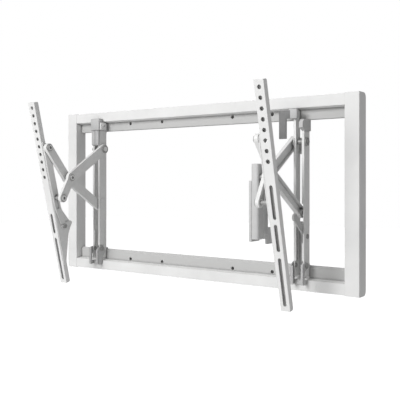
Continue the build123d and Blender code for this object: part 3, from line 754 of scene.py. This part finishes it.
def round_end(centre, edge, steps=12):
    """The points of a half circle that starts at an edge point, without its two ends."""
    return [turned(edge, centre, -180 * step / steps) for step in range(1, steps)]


def strap(path, halves):
    """The outline of a strap with round ends along a path, with a half width at each point."""
    points = [Vector(point) for point in path]
    left = []
    right = []
    for index, point in enumerate(points):
        along = points[min(index + 1, len(points) - 1)] - points[max(index - 1, 0)]
        along.normalize()
        aside = Vector((-along.y, along.x)) * halves[index]
        left.append(point + aside)
        right.append(point - aside)
    far_end = round_end(points[-1], left[-1])
    near_end = round_end(points[0], right[0])
    return [*left, *far_end, *reversed(right), *near_end]


# Shapes given their width across a side
def add_plate(shape, side, span, outlines, edge=0.3):
    """A flat plate with softened edges; the outlines after the first are its holes."""
    low, high = across(side, span)
    curve = bpy.data.curves.new("outline", "CURVE")
    curve.dimensions = "2D"
    curve.fill_mode = "BOTH"
    curve.extrude = ((high - low) / 2 - edge) * MM
    curve.bevel_depth = edge * MM
    curve.bevel_resolution = 1
    curve.offset = -edge * MM
    for points in outlines:
        line = curve.splines.new("POLY")
        line.points.add(len(points) - 1)
        for point, (y, z) in zip(line.points, points):
            point.co = (y * MM, z * MM, 0, 1)
        line.use_cyclic_u = True
    holder = bpy.data.objects.new("outline", curve)
    mesh = bpy.data.meshes.new_from_object(holder)
    middle = (low + high) / 2 * MM
    upright = Matrix(((0, 0, 1, middle), (1, 0, 0, 0), (0, 1, 0, 0), (0, 0, 0, 1)))
    mesh.transform(upright)
    shape.from_mesh(mesh)
    bpy.data.objects.remove(holder)


def add_block(shape, side, span, y_span, z_span, corner=1.0, rim=0.8):
    """A block with rounded upright corners and softened top and bottom rims."""
    level_tolerance = 1e-7
    spans = (across(side, span), y_span, z_span)
    middle = [(low + high) / 2 * MM for low, high in spans]
    size = [(high - low) * MM for low, high in spans]
    made = bmesh.ops.create_cube(shape, size=1.0)["verts"]
    for vertex in made:
        vertex.co = [m + c * s for m, c, s in zip(middle, vertex.co, size)]
    edges = {edge for vertex in made for edge in vertex.link_edges}
    upright = [edge for edge in edges if abs(edge.verts[0].co.z - edge.verts[1].co.z) > size[2] / 2]
    bevel = {"profile": 0.5, "affect": "EDGES"}
    cut = bmesh.ops.bevel(shape, geom=upright, offset=corner * MM, segments=6, **bevel)
    ring = {edge for face in cut["faces"] for vertex in face.verts for edge in vertex.link_edges}
    ring = [edge for edge in ring if abs(edge.verts[0].co.z - edge.verts[1].co.z) < level_tolerance]
    bmesh.ops.bevel(shape, geom=ring, offset=rim * MM, segments=3, **bevel)


def finish_piece(name, shape, finish, body):
    """Turn a shape into a piece with its finish, on a body."""
    mesh = bpy.data.meshes.new(name)
    bmesh.ops.recalc_face_normals(shape, faces=shape.faces)
    shape.to_mesh(mesh)
    shape.free()
    mesh.materials.append(finishes[finish])
    mesh.shade_smooth()
    mesh.set_sharp_from_angle(angle=math.radians(smooth_angle))
    piece = bpy.data.objects.new(name, mesh)
    bpy.context.scene.collection.objects.link(piece)
    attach(piece, body)
    return piece


# Weld beads along the front edge of each tilt plate, on the rail's inner flange
def make_weld_beads():
    tree = weld_tree()
    for side, (middle, inward) in side_places.items():
        places = []
        edges = []
        start = weld_first
        while start + weld_stitch < weld_last:
            for end in (start, start + weld_stitch):
                places.append((middle + inward * rail_half_width, *on_rail(end, plate_inset)))
            edges.append((len(places) - 2, len(places) - 1))
            start += weld_spacing
        beads = grown(side + "_weld_beads", tree, places, edges)
        for face in beads.data.polygons:
            face.use_smooth = True
        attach(beads, side + "_tilt_rail")


# Closed housing: two moulded shells with a parting groove, ribs, a foot and a cover
def make_housing():
    side = "right"
    across_all = (housing_near, housing_far)
    height = (housing_low, housing_top)
    shape = bmesh.new()
    add_block(shape, side, across_all, (housing_front, housing_seam - seam_half_width), height, 5.5, 1.2)
    add_block(shape, side, across_all, (housing_seam + seam_half_width, housing_back), height, 3.5, 1.2)
    core_across = (housing_near + seam_depth, housing_far - seam_depth)
    core_height = (housing_low + seam_depth, housing_top - seam_depth)
    core_depth = (housing_front + core_setback, housing_back - core_setback)
    add_block(shape, side, core_across, core_depth, core_height, 2.0, 0.8)
    for foot_across, foot_depth, foot_height, corner in foot_blocks:
        add_block(shape, side, foot_across, foot_depth, foot_height, corner, 1.0)
    shell = finish_piece("right_housing_shell", shape, "housing_plastic", "right_housing_set")
    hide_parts("right_housing")


def make_housing_ribs():
    middle, inward = side_places["right"]
    place = middle + inward * (housing_near + rib_sunk)
    places = [(place, rib_first + rib_spacing * step, rib_middle) for step in range(rib_count)]
    ribs = grown("right_housing_ribs", rib_tree(), places, Rib_Length=rib_length)
    for face in ribs.data.polygons:
        face.use_smooth = len(face.vertices) == 4
    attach(ribs, "right_housing_set")


def make_housing_cover():
    shape = bmesh.new()
    add_block(shape, "right", (housing_far, cover_far), cover_depth, cover_height, 3.0, 1.5)
    cover = finish_piece("right_cover_shell", shape, "housing_plastic", "right_housing_set")
    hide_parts("right_housing_cover")


# Head castings: the left one has a grooved apron, the right one a pressed wing
def make_head(side):
    top = head_top[side]
    shape = bmesh.new()
    width = (head_outer[side], head_inner)
    add_block(shape, side, width, (head_front, head_back), (head_low, top), 2.4, 2.0)
    cheek = [(-44, 155), (cheek_back, 155), (cheek_back, 173), (-33.5, 173)]
    cheek += [(-33.5, top - 0.5), (-44, top - 0.5)]
    add_plate(shape, side, (hanger_inner + press_gap, head_inner - 0.1), [softened(cheek, 2.5)], 0.6)
    if side == "left":
        apron = (hanger_outer, hanger_inner)
        add_block(shape, side, apron, (apron_front, head_back), (apron_low, head_join))
        for panel in apron_panels:
            add_block(shape, side, panel, panel_depth, (apron_low + 1, head_join), 0.8, 0.7)
    head = finish_piece(side + "_head_shell", shape, "casting", side + "_hanger")
    if side == "left":
        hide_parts("left_head_casting", "left_hanger_cap")
    else:
        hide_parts("right_head_casting")


def make_head_wing():
    """A leaf that hangs from the right head, with a raised panel on its face."""
    shape = bmesh.new()
    for span, depth, height, corner, rim in wing_blocks:
        add_block(shape, "right", span, depth, height, corner, rim)
    finish_piece("right_head_wing", shape, "dark_casting", "right_hanger")


# Square level bolts with a round boss and a hex socket
def make_level_bolt(side):
    y, z = level_bolt
    half = level_half_width
    square = [(y - half, z - half), (y + half, z - half), (y + half, z + half), (y - half, z + half)]
    boss = circle(level_bolt, level_boss_radius)
    socket = circle(level_bolt, level_socket_radius, 6)
    shape = bmesh.new()
    add_plate(shape, side, (head_inner, level_face), [softened(square, 3.0)], 0.8)
    add_plate(shape, side, level_boss_across, [boss, socket], 0.4)
    bolt = finish_piece(side + "_level_square", shape, "bright_zinc", side + "_hanger")
    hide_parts(side + "_level_bolt")


# Foot latches: two pressed legs with lips, tied by a bridge at the foot
def make_latch(side):
    front = latch_front
    low = latch_low
    foot = bridge_depth[1]
    inner = [(front, -147), (-45, -143), (-38, -139), (-30, -138.6), (-25, -145), (-21, -151), (-30, -168)]
    inner += [(foot, -172), (foot, low), (front, low)]
    outer = [(front, -143), (-38, -141), (-30, -141), (-27.5, -147), (-30, -153), (-42, -160)]
    outer += [(-42, bridge_top), (foot, bridge_top), (foot, low), (front, low)]
    inner_face = hanger_inner + slide_gap
    outer_face = hanger_outer - slide_gap
    inner_edge = inner_face + latch_sheet
    outer_edge = outer_face - latch_sheet
    hole = circle(pivot_latch, latch_rivet_radius + pin_gap)
    lips = (front, latch_lip_back)
    shape = bmesh.new()
    add_plate(shape, side, (inner_face, inner_edge), [softened(inner, 2.5), hole])
    add_plate(shape, side, (outer_edge, outer_face), [softened(outer, 2.5), hole])
    add_block(shape, side, (outer_edge, outer_edge + latch_lip_width), lips, (low, -143.5), 0.9, 0.7)
    add_block(shape, side, (inner_edge - latch_lip_width, inner_edge), lips, (low, -147.5), 0.9, 0.7)
    add_block(shape, side, (outer_edge + 0.2, inner_edge - 0.2), bridge_depth, (low, bridge_top), 0.9, 0.7)
    latch = finish_piece(side + "_latch_legs", shape, "casting", side + "_latch")
    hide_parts(side + "_foot_latch")


# Tilt plates: a gusset along the rail, a wedge below it and the curved tilt slot
def make_tilt_plate(side):
    outline = [on_rail(plate_top, plate_inset), on_rail(plate_low, plate_inset)]
    outline += [on_rail(plate_low, plate_back)]
    outline += [(-134, -173), (-127, -102), (-119.5, -84), (-118, -76), (-125, -70.5)]
    outline += [(-156.5, -35.2), (-189.8, 104), (-192, 112), (-199, 115)]
    path = [turned(tilt_bolt, pivot_tv, tilt) for tilt in range(-tilt_forward, tilt_back + 1)]
    slot = strap(path, [tilt_bolt_radius + slide_gap] * len(path))
    hole = circle(pivot_tv, pivot_radius + pin_gap)
    shape = bmesh.new()
    span = (rail_half_width, rail_half_width + tilt_plate_sheet)
    add_plate(shape, side, span, [softened(outline, 4.0), hole, slot])
    plate = finish_piece(side + "_tilt_gusset", shape, "arm_steel", side + "_tilt_rail")
    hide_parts(side + "_tilt_plate")


# Tilt carriers: a slotted strap with a foot that reaches over the tilt slot
# The path of the long arm's front pin, seen from the carrier while the arms fold
pin_path = [(-169.54, -10.89), (-168.79, -16.46), (-167.97, -21.42), (-167.11, -25.75)]
pin_path += [(-166.26, -29.41), (-165.42, -32.4), (-164.65, -34.7), (-163.96, -36.3)]
pin_path += [(-163.39, -37.21)]


def make_carrier(side):
    near = rail_half_width + tilt_plate_sheet + slide_gap
    far = near + carrier_sheet
    body = strap([pivot_tv, (-168, -20), (-163.4, -37.2), (-148, -73)], [9.0, 9.0, 9.0, 8.0])
    slot = strap(pin_path, [low_pin_radius + slide_gap] * len(pin_path))
    hub_hole = circle(pivot_tv, pivot_radius + press_gap)
    foot = strap([tilt_bolt, turned(tilt_bolt, pivot_tv, foot_reach)], [7.5, 6.0])
    bolt_hole = circle(tilt_bolt, tilt_bolt_radius + press_gap)
    shape = bmesh.new()
    add_plate(shape, side, (near, far), [body, hub_hole, slot])
    add_plate(shape, side, (near + foot_inset, far - foot_inset), [foot, bolt_hole])
    carrier = finish_piece(side + "_carrier_strap", shape, "arm_steel", side + "_carrier")
    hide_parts(side + "_tilt_carrier")


# Inward lips along the back of each television rail, cut away round the pin's clip
def make_rail_lips(side):
    top = lip_setback
    low = rail_length - lip_setback
    stretches = ((-1, top, low), (1, top, clip_opening[0]), (1, clip_opening[1], low))
    front, back = lip_behind
    shape = bmesh.new()
    for flank, start, end in stretches:
        corners = [on_rail(start, front), on_rail(end, front), on_rail(end, back), on_rail(start, back)]
        add_plate(shape, side, (flank * lip_across[0], flank * lip_across[1]), [corners], 0.2)
    finish_piece(side + "_rail_lips", shape, "rail_coat", side + "_tilt_rail")


# Bright rings and discs pressed on the pivot heads
def make_pivot_rings(side):
    long_arm_rings = [(pivot_low, 7.0, ring_hole)]
    if side == "left":
        long_arm_rings.append((pivot_cross, 6.2, ring_hole))
    rings = (
        ("hanger", top_disc_across, [(pivot_top, 6.3, None)]),
        ("long_arm_set", long_arm_ring_across, long_arm_rings),
        ("carrier", carrier_ring_across, [(pivot_tv, 6.2, ring_hole)]),
    )
    for body, span, places in rings:
        shape = bmesh.new()
        for centre, radius, hole in places:
            outlines = [circle(centre, radius)]
            if hole:
                outlines.append(circle(centre, hole))
            add_plate(shape, side, span, outlines, 0.25)
        name = side + "_" + body + "_rings"
        finish_piece(name, shape, "bright_zinc", side + "_" + body)


# Guards pressed over the hangers' slots
def make_slot_guard(side):
    front = pivot_top[0] - guard_half_width
    back = pivot_top[0] + guard_half_width
    top, low = guard_levels
    outline = [(front, top), (back, top), (back, low), (front, low)]
    shape = bmesh.new()
    span = (hanger_inner - guard_sunk, hanger_inner + guard_proud)
    add_plate(shape, side, span, [softened(outline, 6.0)])
    finish_piece(side + "_slot_guard", shape, "arm_steel", side + "_hanger")


# Studio: pale floor, soft lights, white surroundings
def make_floor():
    """A pale floor that the camera sees as white."""
    mesh = bpy.data.meshes.new("studio_floor")
    reach = 9.0
    level = -0.75
    corners = [(x * reach, y * reach, level) for x, y in ((-1, -1), (1, -1), (1, 1), (-1, 1))]
    mesh.from_pydata(corners, [], [(0, 1, 2, 3)])
    floor = bpy.data.objects.new("studio_floor", mesh)
    bpy.context.scene.collection.objects.link(floor)
    material, nodes, surface = start_material("studio floor")
    surface.inputs["Base Color"].default_value = (0.9, 0.9, 0.9, 1)
    surface.inputs["Roughness"].default_value = 0.9
    seen = nodes.add("ShaderNodeLightPath").outputs["Is Camera Ray"]
    glow = nodes.math("MULTIPLY", seen, 0.8)
    surface.inputs["Emission Color"].default_value = (1, 1, 1, 1)
    nodes.tree.links.new(glow, surface.inputs["Emission Strength"])
    mesh.materials.append(material)


def soft_light(name, place, target, size, power):
    """A round area light at a place that faces a target."""
    data = bpy.data.lights.new(name, "AREA")
    data.shape = "DISK"
    data.size = size
    data.energy = power
    lamp = bpy.data.objects.new(name, data)
    lamp.location = place
    aim = Vector(target) - Vector(place)
    lamp.rotation_euler = aim.to_track_quat("-Z", "Y").to_euler()
    bpy.context.scene.collection.objects.link(lamp)


def make_world():
    """White where the camera looks, dimmer where it lights the bracket."""
    world = bpy.data.worlds.new("studio")
    bpy.context.scene.world = world
    world.use_nodes = True
    nodes = Nodes(world.node_tree)
    path = nodes.add("ShaderNodeLightPath").outputs
    straight = nodes.math("MAXIMUM", path["Is Camera Ray"], path["Is Transmission Ray"])
    strength = nodes.between(straight, 0.32, 1.0)
    back = world.node_tree.nodes["Background"]
    back.inputs["Color"].default_value = (1, 1, 1, 1)
    nodes.tree.links.new(strength, back.inputs["Strength"])


make_camera()
dress_nodes()
make_frame_screws()
make_weld_beads()
make_housing()
make_housing_ribs()
make_housing_cover()
for side in side_places:
    make_head(side)
    if side == "right":
        make_head_wing()
    make_level_bolt(side)
    make_latch(side)
    make_tilt_plate(side)
    make_carrier(side)
    make_rail_lips(side)
    make_pivot_rings(side)
    make_slot_guard(side)
make_floor()
make_world()
soft_light("key light", (-0.6, -3.2, 1.4), (0, -0.05, 0), size=1.6, power=80)
soft_light("side light", (2.6, -1.4, 0.9), (0, -0.05, 0), size=1.8, power=1.8)
soft_light("top light", (-0.3, -0.5, 2.4), (0, -0.1, 0), size=1.4, power=16)
bpy.context.scene.view_settings.view_transform = "Standard"
